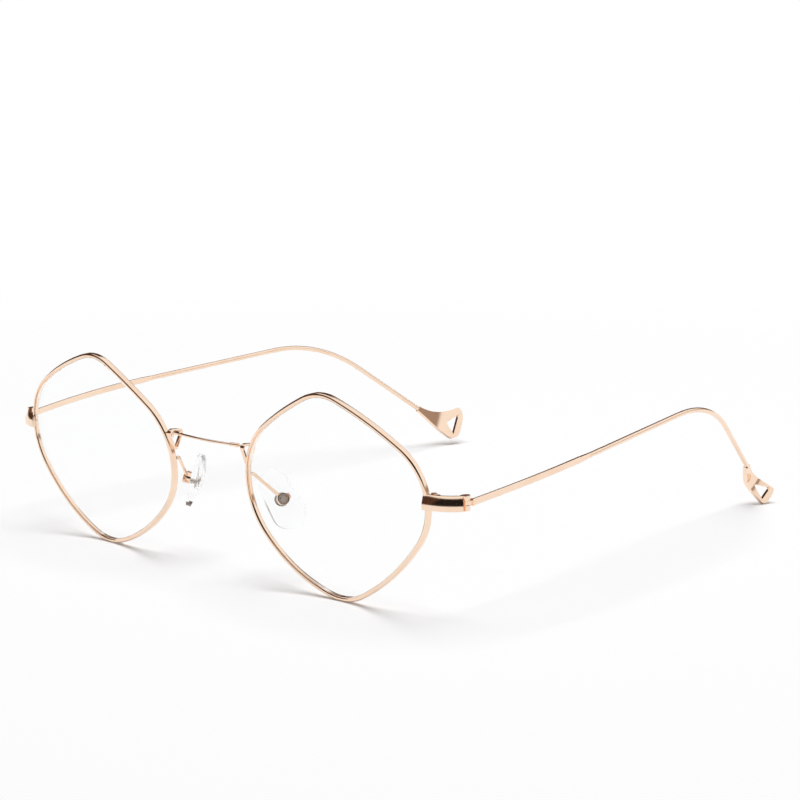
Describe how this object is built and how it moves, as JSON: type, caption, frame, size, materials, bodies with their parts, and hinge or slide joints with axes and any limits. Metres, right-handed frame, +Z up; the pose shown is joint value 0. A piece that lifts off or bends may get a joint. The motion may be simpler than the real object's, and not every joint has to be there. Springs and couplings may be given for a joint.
{
  "type": "pair of polygonal wire spectacles",
  "caption": "Thin rose gold metal eyeglass frame with rounded diamond rims, clear lenses, nose pads, folding temples and pierced fan temple tips.",
  "frame": {"origin": "on the floor that the spectacles stand on, in the mirror plane, midway between the front of the rims and the back of the temple tips", "axes": "+X to the wearer's left, -Y forwards out of the lenses, +Z up; the temples point along +Y"},
  "size_m": [0.1384, 0.1443, 0.0444],
  "materials": {
    "frame_metal": "polished rose gold plating",
    "screw_metal": "bright copper coloured screw heads",
    "clear_lens": "clear untinted lens, polished both sides",
    "clear_pad": "clear soft silicone",
    "pad_insert": "plain steel insert inside the pad"
  },
  "bodies": {
    "front": {"bridge": "frame_metal", "rim_left": "frame_metal", "lens_left": "clear_lens", "pad_arm_left": "frame_metal", "pad_box_left": "frame_metal", "pad_screw_left": "screw_metal", "end_piece_left": "frame_metal", "lock_upper_left": "frame_metal", "lock_lower_left": "frame_metal", "lock_screw_left": "screw_metal", "hinge_fork_left": "frame_metal", "hinge_screw_left": "screw_metal", "rim_right": "frame_metal", "lens_right": "clear_lens", "pad_arm_right": "frame_metal", "pad_box_right": "frame_metal", "pad_screw_right": "screw_metal", "end_piece_right": "frame_metal", "lock_upper_right": "frame_metal", "lock_lower_right": "frame_metal", "lock_screw_right": "screw_metal", "hinge_fork_right": "frame_metal", "hinge_screw_right": "screw_metal"},
    "temple_arm_left": {"hinge_tongue_left": "frame_metal", "temple_left": "frame_metal", "temple_tip_left": "frame_metal"},
    "pad_left": {"nose_pad_left": "clear_pad", "pad_core_left": "pad_insert"},
    "temple_arm_right": {"hinge_tongue_right": "frame_metal", "temple_right": "frame_metal", "temple_tip_right": "frame_metal"},
    "pad_right": {"nose_pad_right": "clear_pad", "pad_core_right": "pad_insert"}
  },
  "joints": [
    {"name": "temple_fold_left", "type": "hinge", "parent": "front", "child": "temple_arm_left", "pos_m": [0.06714, -0.06283, 0.0253], "axis": [0, 0, 1], "range_deg": [0, 82.5]},
    {"name": "nose_pad_rock_left", "type": "hinge", "parent": "front", "child": "pad_left", "pos_m": [0.01505, -0.06156, 0.01755], "axis": [0.4165, 0.8056, 0.4214], "range_deg": [-8, 8]},
    {"name": "temple_fold_right", "type": "hinge", "parent": "front", "child": "temple_arm_right", "pos_m": [-0.06714, -0.06283, 0.0253], "axis": [0, 0, -1], "range_deg": [0, 79]},
    {"name": "nose_pad_rock_right", "type": "hinge", "parent": "front", "child": "pad_right", "pos_m": [-0.01505, -0.06156, 0.01755], "axis": [-0.4165, 0.8056, 0.4214], "range_deg": [-8, 8]}
  ]
}
